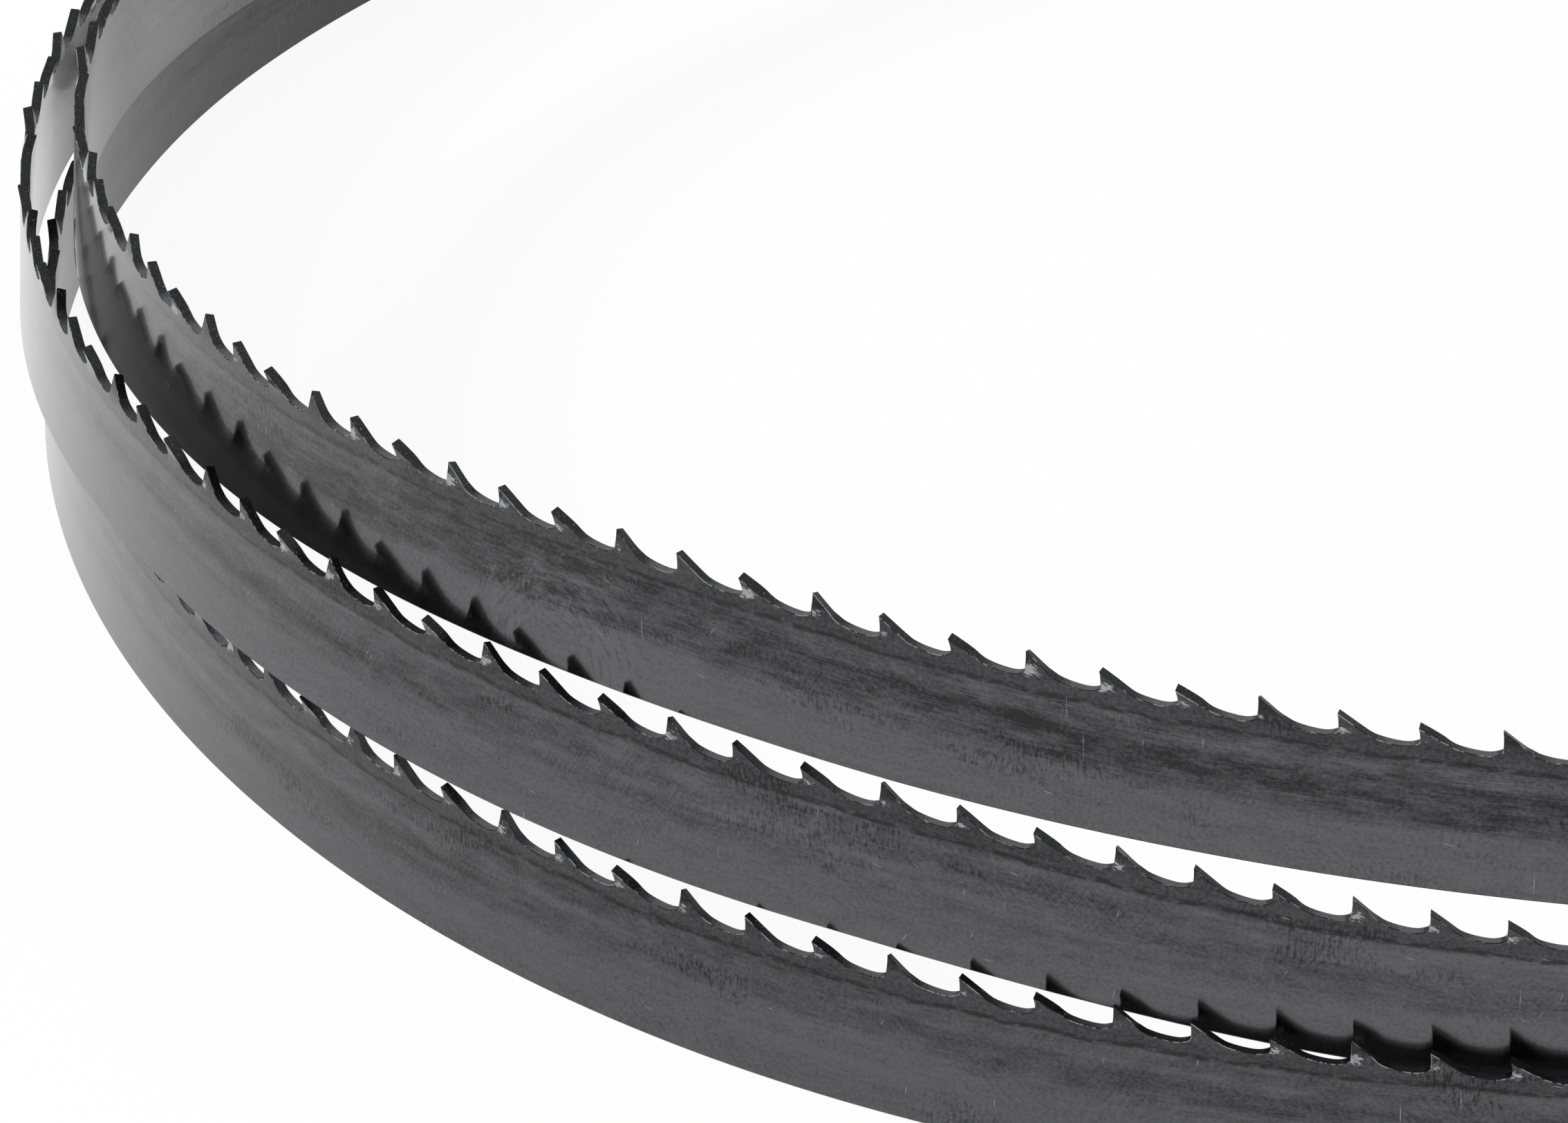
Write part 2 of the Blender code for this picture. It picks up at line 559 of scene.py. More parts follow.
@dataclass(frozen=True)
class SettingMarks:
    """The torn bright patches that the setting punch left at the feet of some teeth.

    To the eye they are small ragged spots of bare metal. Lengths are in millimetres.
    """

    torn: Pattern = Pattern(0.34, 0.11, turn=-16.0, shift=8.3, detail=5.0, coarseness=0.7)
    # Shares of the pitch: how far before its tip a tooth's stretch begins, and where in
    # that stretch the mark's middle is
    lead: float = 0.04
    middle: float = 0.12
    above_gullet: float = 0.40
    half_length: float = 0.52
    half_height: float = 0.32
    # What each thing adds to a mark's size
    start: float = -2.3
    by_tearing: float = 3.4
    by_chance: float = 1.5
    by_weld: float = 0.35
    edge: Ramp = Ramp(0.0, 0.35, high=1.5)

    def draw(self, flat: FlatBand, worked: Socket) -> Socket:
        """Draw the marks.

        Args:
            flat: The unrolled band.
            worked: One near the weld, nought far from it.

        Returns:
            How bare the steel is.
        """
        tree = flat.tree
        shifted = add_node(tree, "Math", {0: flat.pitches(), 1: self.lead}, operation="ADD")
        tooth = add_node(tree, "Math", {0: shifted}, operation="FLOOR")
        chance = add_node(tree, "TexWhiteNoise", {"W": tooth}, noise_dimensions="1D")
        share = add_node(tree, "Math", {0: shifted}, operation="FRACT")
        stretch = flat.pitch / self.half_length
        across = flat.weigh(-self.middle * stretch, [(share, stretch)])
        middle = flat.gullet_height + self.above_gullet
        upward = flat.weigh(-middle / self.half_height, [(flat.height, 1.0 / self.half_height)])
        from_middle = add_node(tree, "CombineXYZ", {0: across, 1: upward})
        away = add_node(tree, "VectorMath", {0: from_middle}, "Value", operation="LENGTH")
        torn = self.torn.lay(flat)
        swells = [(torn, self.by_tearing), (chance, self.by_chance), (worked, self.by_weld)]
        size = flat.weigh(self.start, [*swells, (away, -1.0)])
        return flat.overlap(flat.within((self.edge, size)), torn)


@dataclass(frozen=True)
class RolledSteel(Steel):
    """Carbon steel strip: cold rolled, hardened and tempered dark, brushed lengthwise, oiled.

    To the eye it is dark grey seen square on and nearly a mirror at a slant. The brushing
    smears what it mirrors upwards and downwards, and the thin oil keeps a crisper image.
    """

    light: str = "#5d5d5f"
    dark: str = "#1f1f21"
    line: str = "#171719"
    stain: str = "#101012"
    bare: str = "#b9babc"
    roughness: float = 0.145
    roughness_swing: float = 0.08
    bare_roughness: float = 0.25
    relief: float = 0.000003
    relief_strength: float = 0.2
    bare_relief: float = -0.5
    anisotropy: float = 0.9
    # A quarter turn from along the band to across it
    anisotropy_turn: float = 0.25
    oil: float = 0.42
    oil_roughness: float = 0.06

    # Brush lines are about 0.02 mm wide: drawn four times as wide, to show
    brushing: Grain = Grain(Pattern(6.0, 0.08, detail=5.0, coarseness=0.7), 0.30, 0.25, 0.55)
    grains: tuple[Grain, ...] = (
        # Blotches of the tempering, some millimetres long
        Grain(Pattern(2.6, 0.8, shift=6.1, detail=5.0, coarseness=0.62), 0.45, 0.5, 0.35),
        # Long bands of the rolling
        Grain(Pattern(34.0, 1.6, shift=7.7, detail=2.0), 0.4, 0.7),
        # Hairlines between the brush lines
        Grain(Pattern(1.6, 0.045, shift=1.1, detail=2.0), 0.30, near_weld=0.4),
        # The grain of the temper film, about 0.2 mm
        Grain(Pattern(0.24, 0.20, shift=5.3, detail=3.0, coarseness=0.62), 1.0),
    )
    # Strokes of hand stoning cross the brushing both ways, 0.02 mm wide, drawn 0.08
    stoning: tuple[Pattern, ...] = (
        Pattern(2.2, 0.08, turn=61.0, shift=2.3, detail=2.0, coarseness=0.5),
        Pattern(1.7, 0.08, turn=-43.0, shift=3.7, detail=2.0, coarseness=0.5),
    )
    stoned: tuple[Pattern, ...] = (
        Pattern(13.0, 3.2, shift=4.9, detail=2.0),
        Pattern(9.0, 2.6, shift=30.1, detail=2.0),
    )
    stoned_shows: Ramp = Ramp(0.50, 0.68, high=0.8)
    # Upright dashes left by a shaking grinding wheel, about 0.3 mm apart
    chatter: Pattern = Pattern(0.18, 0.62, turn=4.0, shift=11.3, detail=1.0)
    chatter_shows: Ramp = Ramp(0.44, 0.66)
    shaken: Pattern = Pattern(14.0, 3.0, shift=12.1, detail=4.0)
    shaken_shows: Ramp = Ramp(0.57, 0.66)

    # Where the band was held and worked, in mm to either side of the weld
    worked: Ramp = Ramp(130.0, 60.0)
    # Zones of the band's height, in mm from the back edge
    middle: Ramp = Ramp(2.6, 4.6)
    under_line: Ramp = Ramp(7.6, 7.1)
    hardened: Ramp = Ramp(7.2, 7.7)
    stripe_foot: Ramp = Ramp(4.4, 4.9)
    stripe_top: Ramp = Ramp(6.6, 5.6)
    # How dark the skin is at its palest, and what each part adds
    palest: float = 0.13
    by_middle: float = 0.26
    by_work: float = 0.22
    by_hardening: float = 0.26
    by_stripe: float = 0.16
    by_chatter: float = 0.40
    by_grinding: float = -0.55

    # The hardening line, in mm below the gullets at its lowest, and how far it wanders up
    line_below: float = 1.05
    line_rise: float = 0.7
    line_wander: Pattern = Pattern(5.0, 30.0, shift=9.1)
    line_width: Ramp = Ramp(0.26, 0.06, high=0.8)
    line_breaks: Pattern = Pattern(1.1, 0.34, shift=10.9, detail=5.0, coarseness=0.65)
    line_shows: Ramp = Ramp(0.37, 0.54)

    grinding: WeldGrinding = WeldGrinding()
    setting: SettingMarks = SettingMarks()
    # Dark specks of grit, about 0.1 and 0.15 mm across
    specks: tuple[Scatter, ...] = (
        Scatter(Pattern(0.9, 0.7, shift=14.3), 0.075, 0.88),
        Scatter(Pattern(2.4, 2.0, shift=15.1), 0.05, 0.93),
    )
    speck_cover: float = 0.5
    # Fine bright scratches, most of them across the band, 0.02 mm wide, drawn 0.05
    scratches: tuple[Scatter, ...] = (
        Scatter(Pattern(0.45, 15.0, turn=3.0, shift=16.7), 0.055, 0.975),
        Scatter(Pattern(0.45, 6.0, turn=-5.0, shift=17.9), 0.055, 0.972),
        Scatter(Pattern(6.0, 0.45, turn=64.0, shift=18.7), 0.055, 0.975),
        Scatter(Pattern(7.0, 0.45, turn=-9.0, shift=19.3), 0.050, 0.980),
    )
    scratch_breaks: Pattern = Pattern(0.3, 0.3, shift=20.3, detail=2.0)
    scratch_shows: Ramp = Ramp(0.35, 0.6, 0.15, 0.65)

    def surface(self, flat: FlatBand) -> Inputs:
        """Work out how the band's two sides look.

        Args:
            flat: The unrolled band.

        Returns:
            The inputs of the metal's shader.
        """
        tree = flat.tree
        brushing = self.brushing.pattern.lay(flat)
        away = add_node(tree, "Math", {0: flat.from_weld()}, operation="ABSOLUTE")
        worked = flat.within((self.worked, away))
        breaks = self.scratch_shows.reading(self.scratch_breaks.lay(flat))
        broken = add_node(tree, "MapRange", breaks)
        scratched = flat.overlap(self._scattered(flat, self.scratches), broken)
        marks = {0: self.setting.draw(flat, worked), 1: scratched}
        bare = add_node(tree, "Math", marks, operation="MAXIMUM")
        coats = (
            (self._darkness(flat, brushing, worked), self.dark),
            (self._hardening_line(flat), self.line),
            (flat.overlap(self._scattered(flat, self.specks), self.speck_cover), self.stain),
            (bare, self.bare),
        )
        swings = [(brushing, self.roughness_swing), (bare, self.bare_roughness)]
        relief = flat.weigh(0.0, [(brushing, 1.0), (bare, self.bare_relief)])
        bump = {"Height": relief, "Strength": self.relief_strength, "Distance": self.relief}
        return {
            "Base Color": flat.paint(self.light, coats),
            "Roughness": flat.weigh(self.roughness - self.roughness_swing / 2.0, swings),
            "Anisotropic": self.anisotropy,
            "Anisotropic Rotation": self.anisotropy_turn,
            "Tangent": add_node(tree, "Tangent", {}, direction_type="UV_MAP", uv_map=UNROLLED),
            "Normal": add_node(tree, "Bump", bump),
            "Coat Weight": self.oil,
            "Coat Roughness": self.oil_roughness,
        }

    def _darkness(self, flat: FlatBand, brushing: Socket, worked: Socket) -> Socket:
        """Work out how dark the skin is: pale by the back edge, darkest along the teeth.

        Args:
            flat: The unrolled band.
            brushing: The lengthwise brush lines.
            worked: One near the weld, nought far from it.

        Returns:
            Nought for the light colour, one for the dark.
        """
        tree = flat.tree
        height = flat.height
        middle = flat.within((self.middle, height))
        under_line = flat.within((self.under_line, height))
        stripe = flat.within((self.stripe_foot, height), (self.stripe_top, height))
        busy = flat.overlap(middle, under_line)
        busy_worked = flat.overlap(busy, worked)
        grains = [(brushing, self.brushing)]
        grains += [(grain.pattern.lay(flat), grain) for grain in self.grains]
        parts = []
        for share, grain in grains:
            extra = [(busy, grain.busy), (busy_worked, grain.near_weld)]
            parts.append((share, flat.weigh(grain.everywhere, extra)))
        for strokes, patches in zip(self.stoning, self.stoned):
            patch = flat.within((self.stoned_shows, patches.lay(flat)))
            parts.append((strokes.lay(flat), flat.overlap(patch, under_line)))
        level = self.palest
        for share, weight in parts:
            # A pattern darkens as much as it lightens, round its middle value of a half
            swing = add_node(tree, "Math", {0: share, 1: 0.5}, operation="SUBTRACT")
            level = flat.weigh(level, [(swing, weight)])
        dashes = (self.chatter_shows, self.chatter.lay(flat))
        shaken = (self.shaken_shows, self.shaken.lay(flat))
        added = [
            (middle, self.by_middle),
            (busy_worked, self.by_work),
            (flat.within((self.hardened, height)), self.by_hardening),
            (flat.overlap(stripe, worked), self.by_stripe),
            (flat.within(dashes, shaken), self.by_chatter),
            (self.grinding.draw(flat), self.by_grinding),
        ]
        return add_node(tree, "Clamp", {0: flat.weigh(level, added)})

    def _hardening_line(self, flat: FlatBand) -> Socket:
        """Draw the dark, broken line that hardening the teeth leaves below the gullets.

        Args:
            flat: The unrolled band.

        Returns:
            How dark the line is.
        """
        tree = flat.tree
        lowest = flat.gullet_height - self.line_below
        level = flat.weigh(lowest, [(self.line_wander.lay(flat), self.line_rise)])
        offset = add_node(tree, "Math", {0: flat.height, 1: level}, operation="SUBTRACT")
        away = add_node(tree, "Math", {0: offset}, operation="ABSOLUTE")
        breaks = self.line_breaks.lay(flat)
        return flat.within((self.line_width, away), (self.line_shows, breaks))

    def _scattered(self, flat: FlatBand, kinds: tuple[Scatter, ...]) -> Socket:
        """Draw several kinds of small marks.

        Args:
            flat: The unrolled band.
            kinds: The kinds of marks.

        Returns:
            One on a mark and nought beside it.
        """
        marks = 0.0
        for kind in kinds:
            both = {0: kind.draw(flat), 1: marks}
            marks = add_node(flat.tree, "Math", both, operation="MAXIMUM")
        return marks


@dataclass(frozen=True)
class MilledSteel(Steel):
    """The same steel where the teeth are milled: dull, dark and gritty, without a direction.

    To the eye it is a dark band with pale flecks of torn metal. The gullet floors carry
    painted light: they are painted paler where they face the light.
    """

    slope: str = "#434446"
    # Painted light: the gullet colour paints the gullet floors paler, where they face the light
    gullet: str = "#7c7d7f"
    fleck: str = "#c0c1c3"
    pit: str = "#161618"
    roughness: float = 0.34
    grit_roughness: float = 0.2
    # Torn grains scatter the light that the dark metal round them mirrors away
    fleck_roughness: float = 0.35
    relief: float = 0.000015
    relief_strength: float = 0.6
    fleck_relief: float = 1.5
    # Torn grains of 0.05 mm, drawn 0.11 mm, to show
    grit_mm: float = 0.11
    grit_detail: float = 3.0
    grit_coarseness: float = 0.6
    # The gullet's floor, in shares of the pitch behind the tip, and what makes it pale: painted
    # light there, grit anywhere
    floor_start: Ramp = Ramp(0.40, 0.72)
    floor_end: Ramp = Ramp(0.97, 0.93)
    pale_start: float = -0.8
    by_grit: float = 1.6
    # The flecks come in stretches of about half a millimetre
    fleck_shows: Ramp = Ramp(0.64, 0.69)
    stretches: Pattern = Pattern(0.5, 4.0, shift=21.1)
    stretch_shows: Ramp = Ramp(0.46, 0.58)
    pit_shows: Ramp = Ramp(0.40, 0.34, high=0.8)

    def surface(self, flat: FlatBand) -> Inputs:
        """Work out how the cut edges look.

        Args:
            flat: The unrolled band.

        Returns:
            The inputs of the metal's shader.
        """
        tree = flat.tree
        grains = {
            "Vector": add_node(tree, "TexCoord", {}, "Object"),
            "Scale": MM / self.grit_mm,
            "Detail": self.grit_detail,
            "Roughness": self.grit_coarseness,
        }
        grit = add_node(tree, "TexNoise", grains)
        share = add_node(tree, "Math", {0: flat.pitches()}, operation="FRACT")
        # Painted light: the gullet floors are painted paler where they face the light; the grit
        # adds pale spots anywhere
        painted_light_on_gullet_floor = flat.within((self.floor_start, share), (self.floor_end, share))
        pale = flat.weigh(self.pale_start, [(painted_light_on_gullet_floor, 1.0), (grit, self.by_grit)])
        stretches = self.stretches.lay(flat)
        flecks = flat.within((self.fleck_shows, grit), (self.stretch_shows, stretches))
        coats = (
            (add_node(tree, "Clamp", {0: pale}), self.gullet),
            (flecks, self.fleck),
            (flat.within((self.pit_shows, grit)), self.pit),
        )
        swings = [(grit, self.grit_roughness), (flecks, self.fleck_roughness)]
        relief = flat.weigh(0.0, [(grit, 1.0), (flecks, self.fleck_relief)])
        bump = {"Height": relief, "Strength": self.relief_strength, "Distance": self.relief}
        return {
            "Base Color": flat.paint(self.slope, coats),
            "Roughness": flat.weigh(self.roughness - self.grit_roughness / 2.0, swings),
            "Normal": add_node(tree, "Bump", bump),
        }


@dataclass(frozen=True)
class RubbedSteel(Steel):
    """The same steel where a corner is rubbed.

    To the eye it is bright in a broken line, and dull between.
    """

    rubbed: str = "#c4c5c7"
    dull: str = "#37383a"
    roughness: float = 0.30
    # Lengths of about half a millimetre are rubbed bare, more of them in some stretches
    breaks: Pattern = Pattern(0.9, 6.0, shift=22.7, detail=5.0, coarseness=0.75)
    stretches: Pattern = Pattern(6.0, 30.0, shift=23.9)
    by_stretch: float = 0.5
    shows: Ramp = Ramp(0.50, 0.60)

    def surface(self, flat: FlatBand) -> Inputs:
        """Work out how a rubbed corner looks.

        Args:
            flat: The unrolled band.

        Returns:
            The inputs of the metal's shader.
        """
        parts = [(self.breaks.lay(flat), 1.0), (self.stretches.lay(flat), self.by_stretch)]
        both = flat.weigh(-self.by_stretch / 2.0, parts)
        bright = add_node(flat.tree, "MapRange", self.shows.reading(both))
        return {
            "Base Color": flat.paint(self.dull, ((bright, self.rubbed),)),
            "Roughness": self.roughness,
        }


@dataclass
class Tooth:
    """One pitch of the band as a closed stretch of mesh, laid out flat.

    Points are (distance, height, depth) in metres, the distance measured from the tip.
    A face names its points as (index, teeth ahead).
    """

    band: Band
    pitch: float
    # Points of the outline: share of the pitch from the tip, share of the depth
    foot: tuple[float, float] = (0.02, 0.28)
    tip: tuple[float, float] = (0.0, 1.0)
    slope_end: tuple[float, float] = (0.37, 0.28)
    gullet: tuple[tuple[float, float], ...] = ((0.55, 0.08), (0.80, 0.0), (0.94, 0.08))
    # How far the gullet's curve follows the back slope and the cutting face
    slope_sweep: float = 0.55
    face_sweep: float = 0.42
    hollow: float = 0.000025
    least_miter: float = 0.4
    line_below_gullet: float = 0.0004
    face_steps: int = 5
    base_steps: int = 4
    gullet_steps: tuple[int, ...] = (3, 4, 3, 3)

    def __post_init__(self) -> None:
        """Build the stretch of mesh."""
        self.bend_height = float(self._at(self.foot)[1])
        self.points: list[tuple[float, float, float]] = []
        self.faces: list[tuple[list[tuple[int, int]], Surface]] = []
        self.outline = self._outline()
        self.inset = self._inset(self.band.edge_break)
        self._build()

    def _at(self, shares: tuple[float, float]) -> np.ndarray:
        """Return a point of the outline from its shares of the pitch and the depth."""
        height = self.band.gullet_height + shares[1] * self.band.tooth_depth
        return np.array((shares[0] * self.pitch, height))

    def _outline(self) -> np.ndarray:
        """Draw the toothed edge over one pitch: rake face, back slope, then the gullet.

        Returns:
            One row for each point: distance and height.
        """
        foot, tip, slope_end = (self._at(spot) for spot in (self.foot, self.tip, self.slope_end))
        shares = np.linspace(0.0, 1.0, self.face_steps + 1)[:, None]
        hollow = np.array((self.hollow, 0.0)) * np.sin(math.pi * shares)
        rake_face = foot + (tip - foot) * shares + hollow
        back_slope = tip + (slope_end - tip) * shares
        low = [self._at(spot) for spot in self.gullet]
        knots = [slope_end, *low, foot + (self.pitch, 0.0)]
        ways = [(slope_end - tip) * self.slope_sweep]
        ways += [(knots[k + 1] - knots[k - 1]) / 2.0 for k in range(1, len(low) + 1)]
        ways.append((tip - foot) * self.face_sweep)
        gullet = []
        for k, steps in enumerate(self.gullet_steps):
            for step in range(1, steps + 1):
                x = step / steps
                gullet.append(
                    knots[k] * (2 * x**3 - 3 * x**2 + 1)
                    + ways[k] * (x**3 - 2 * x**2 + x)
                    + knots[k + 1] * (3 * x**2 - 2 * x**3)
                    + ways[k + 1] * (x**3 - x**2)
                )
        return np.concatenate((rake_face, back_slope[1:], np.array(gullet[:-1])))

    def _inset(self, depth: float) -> np.ndarray:
        """Move the outline into the steel.

        Args:
            depth: How far it moves, square to itself.

        Returns:
            The moved outline.
        """
        ring = self.outline
        before = np.roll(ring, 1, axis=0)
        after = np.roll(ring, -1, axis=0)
        before[0, 0] -= self.pitch
        after[-1, 0] += self.pitch
        arriving = ring - before
        leaving = after - ring
        arriving /= np.linalg.norm(arriving, axis=1, keepdims=True)
        leaving /= np.linalg.norm(leaving, axis=1, keepdims=True)
        inward = np.stack((arriving[:, 1] + leaving[:, 1], -arriving[:, 0] - leaving[:, 0]), axis=1)
        inward /= np.linalg.norm(inward, axis=1, keepdims=True)
        normal = np.stack((arriving[:, 1], -arriving[:, 0]), axis=1)
        miter = np.clip((inward * normal).sum(axis=1), self.least_miter, 1.0)
        return ring + inward * (depth / miter)[:, None]

    def _point(self, spot: np.ndarray, depth: float) -> int:
        """Add one point and return its index."""
        self.points.append((float(spot[0]), float(spot[1]), depth))
        return len(self.points) - 1

    def _face(self, corners: list[tuple[int, int]], surface: Surface, side: int = 1) -> None:
        """Add one face, its corners turned round on the inner side."""
        self.faces.append((corners if side > 0 else corners[::-1], surface))

    def _strip(self, near: list[int], far: list[int], surface: Surface, side: int = 1) -> None:
        """Join two rows of points by faces, the last ones reaching to the next tooth.

        Args:
            near: The first row.
            far: The second row.
            surface: What the faces belong to.
            side: One for the outer side, minus one for the inner.
        """
        count = len(near)
        for k in range(count):
            after, ahead = (k + 1) % count, (k + 1) // count
            corners = [(near[k], 0), (near[after], ahead), (far[after], ahead), (far[k], 0)]
            self._face(corners, surface, side)

    def _build(self) -> None:
        """Make both sides, the toothed rim and the back edge."""
        half = self.band.thickness / 2.0
        edge = self.band.edge_break
        rims = {}
        lows = {}
        for side in (1, -1):
            flat = [self._point(spot, side * half) for spot in self.inset]
            rims[side] = (flat, [self._point(spot, side * (half - edge)) for spot in self.outline])
            lows[side] = self._side(side, flat)
        self._rim(rims)
        self._back(lows)

    def _side(self, side: int, flat: list[int]) -> tuple[list[int], list[int]]:
        """Build one side of the band.

        Args:
            side: One for the outer side, minus one for the inner.
            flat: The side's points along the toothed edge.

        Returns:
            Its lowest row of points, and the row on the back edge.
        """
        steps, base = self.face_steps, self.base_steps
        half = self.band.thickness / 2.0
        broken = self.band.back_break
        tip = flat[steps]
        rows = []
        for row in range(steps):
            left, right = flat[row], flat[2 * steps - row]
            start, end = (np.array(self.points[index][:2]) for index in (left, right))
            spots = [start + (end - start) * j / base for j in range(1, base)]
            inner = [self._point(spot, side * half) for spot in spots]
            rows.append([left, *inner, right])
        for lower, upper in zip(rows, rows[1:]):
            for j in range(base):
                corners = [(lower[j], 0), (lower[j + 1], 0), (upper[j + 1], 0), (upper[j], 0)]
                self._face(corners, Surface.FACE, side)
        for j in range(base):
            self._face([(rows[-1][j], 0), (rows[-1][j + 1], 0), (tip, 0)], Surface.FACE, side)
        top = rows[0] + flat[2 * steps + 1 :]
        line_height = self.band.gullet_height - self.line_below_gullet
        line, low, back = [], [], []
        for index in top:
            distance = self.points[index][0]
            line.append(self._point(np.array((distance, line_height)), side * half))
            low.append(self._point(np.array((distance, broken)), side * half))
            back.append(self._point(np.array((distance, 0.0)), side * (half - broken)))
        self._strip(low, line, Surface.FACE, side)
        self._strip(line, top, Surface.FACE, side)
        return low, back

    def _rim(self, rims: dict[int, tuple[list[int], list[int]]]) -> None:
        """Join both sides along the teeth and gullets.

        Args:
            rims: For each side, its points on the flat and on the broken corner.
        """
        outer_flat, outer = rims[1]
        inner_flat, inner = rims[-1]
        self._strip(outer_flat, outer, Surface.CORNER)
        self._strip(outer, inner, Surface.CUT)
        self._strip(inner, inner_flat, Surface.CORNER)

    def _back(self, lows: dict[int, tuple[list[int], list[int]]]) -> None:
        """Close the back edge with its broken corners.

        Args:
            lows: For each side, its lowest row and its row on the back edge.
        """
        outer_low, outer = lows[1]
        inner_low, inner = lows[-1]
        for near, far in ((outer, outer_low), (inner, outer), (inner_low, inner)):
            self._strip(near, far, Surface.BACK)


@dataclass
class Blade:
    """The whole blade: one tooth repeated, each one set and worn a little its own way."""

    band: Band
    run: Run
    face: RolledSteel = RolledSteel()
    cut: MilledSteel = MilledSteel()
    corner: RubbedSteel = RubbedSteel()
    back: RubbedSteel = RubbedSteel(rubbed="#85868a", shows=Ramp(0.42, 0.62))
    seed: int = 7
    set_spread: float = 0.10
    set_error: float = 0.000018
    wear: float = 0.00002
    deepest_wear: float = 0.00006
    # How steeply the wear, the lean and the tilt grow from the bend to the tip
    wear_power: int = 4
    lean_power: float = 1.15
    tilt_rise: float = 4.0
    crisp_degrees: float = 32.0

    def make(self, name: str) -> bpy.types.Object:
        """Make the blade.

        Args:
            name: The piece's name.

        Returns:
            The finished object, linked to the scene.
        """
        tooth = Tooth(self.band, self.run.pitch)
        mesh = self._mesh(name, tooth)
        self._unroll(mesh, tooth)
        self._dress(mesh, tooth)
        mesh.validate()
        blade = bpy.data.objects.new(name, mesh)
        bpy.context.scene.collection.objects.link(blade)
        return blade

    def _starts(self) -> np.ndarray:
        """Return the distance of every tooth's tip along the run."""
        return (np.arange(self.run.teeth) + self.band.first_tooth) * self.run.pitch

    def _mesh(self, name: str, tooth: Tooth) -> bpy.types.Mesh:
        """Lay the teeth round the run.

        Args:
            name: The mesh's name.
            tooth: The tooth that is repeated.

        Returns:
            The closed mesh.
        """
        flat = np.array(tooth.points)
        count, size = self.run.teeth, len(flat)
        chance = np.random.default_rng(self.seed)
        lean = np.resize(self.band.set_pattern, count) * self.band.tooth_set
        lean = lean * chance.normal(1.0, self.set_spread, count)
        lean += chance.normal(0.0, self.set_error, count)
        wear = np.clip(chance.normal(self.wear, self.wear, count), 0.0, self.deepest_wear)
        foot, upward, outward = self.run.stands(self._starts()[:, None] + flat[None, :, 0])
        reach = self.band.width - tooth.bend_height
        share = np.clip((flat[:, 1] - tooth.bend_height) / reach, 0.0, 1.0)
        tilted = np.minimum(share * self.tilt_rise, 1.0)
        tilt = np.arctan2(lean, reach)[:, None] * tilted[None, :]
        height = flat[None, :, 1] - wear[:, None] * share[None, :] ** self.wear_power
        height = height - flat[None, :, 2] * np.sin(tilt)
        sideways = lean[:, None] * share[None, :] ** self.lean_power
        sideways = sideways + flat[None, :, 2] * np.cos(tilt)
        places = foot + upward * height[..., None] + outward * sideways[..., None]
        faces = []
        for i in range(count):
            after = (i + 1) % count
            for corners, _ in tooth.faces:
                faces.append([(after if ahead else i) * size + index for index, ahead in corners])
        mesh = bpy.data.meshes.new(name)
        mesh.from_pydata(places.reshape(-1, 3).tolist(), [], faces)
        mesh.shade_smooth()
        mesh.set_sharp_from_angle(angle=math.radians(self.crisp_degrees))
        return mesh

    def _unroll(self, mesh: bpy.types.Mesh, tooth: Tooth) -> None:
        """Write the band's own coordinates: distance from the weld and height, in metres.

        Args:
            mesh: The blade's mesh.
            tooth: The tooth that was repeated.
        """
        corners = [corner for face, _ in tooth.faces for corner in face]
        along = [tooth.points[index][0] + ahead * self.run.pitch for index, ahead in corners]
        height = [tooth.points[index][1] for index, _ in corners]
        starts = self._starts() - self.band.weld_at
        starts = np.where(starts < 0.0, starts + self.run.length, starts)
        unrolled = np.empty((self.run.teeth, len(corners), 2))
        unrolled[..., 0] = starts[:, None] + np.array(along)[None, :]
        unrolled[..., 1] = np.array(height)[None, :]
        mesh.uv_layers.new(name=UNROLLED).uv.foreach_set("vector", unrolled.ravel())

    def _dress(self, mesh: bpy.types.Mesh, tooth: Tooth) -> None:
        """Give each surface its finish.

        Args:
            mesh: The blade's mesh.
            tooth: The tooth that was repeated.
        """
        finishes = {
            Surface.FACE: self.face.material("carbon_steel_cold_rolled_brushed", self.run),
            Surface.CUT: self.cut.material("carbon_steel_milled", self.run),
            Surface.CORNER: self.corner.material("carbon_steel_rubbed_corner", self.run),
            Surface.BACK: self.back.material("carbon_steel_rounded_back", self.run),
        }
        for surface in Surface:
            mesh.materials.append(finishes[surface])
        slots = [surface.value for _, surface in tooth.faces] * self.run.teeth
        mesh.polygons.foreach_set("material_index", slots)


@dataclass(frozen=True)
class StudioFinish:
    """The studio's white: paper on the floor and soft white light from all round."""

    floor: str = "#f7f7f7"
    white: str = "#ffffff"
    floor_roughness: float = 0.9
    white_to_camera: float = 0.92
    white_to_metal: float = 0.35

    def floor_material(self, name: str) -> bpy.types.Material:
        """Make matt white paper, of which the camera and the metal see most as plain white.

        Args:
            name: The material's name.

        Returns:
            The finished material, which keeps part of the blade's shadow.
        """
        material = bpy.data.materials.new(name)
        material.use_nodes = True
        tree = material.node_tree
        shader = tree.nodes["Principled BSDF"]
        paper = {
            "Base Color": linear(self.floor),
            "Roughness": self.floor_roughness,
            "Specular IOR Level": 0.0,
        }
        fill_inputs(tree, shader, paper)
        share = 0.0
        shares = {
            "Is Camera Ray": self.white_to_camera,
            "Is Glossy Ray": self.white_to_metal,
            "Is Transmission Ray": self.white_to_metal,
        }
        for ray, most in shares.items():
            path = add_node(tree, "LightPath", {}, ray)
            share = add_node(tree, "Math", {0: path, 1: most, 2: share}, operation="MULTIPLY_ADD")
        plain = add_node(tree, "Emission", {"Color": linear(self.white), "Strength": 1.0})
        both = add_node(tree, "MixShader", {0: share, 1: shader.outputs[0], 2: plain})
        fill_inputs(tree, tree.nodes["Material Output"], {"Surface": both})
        return material


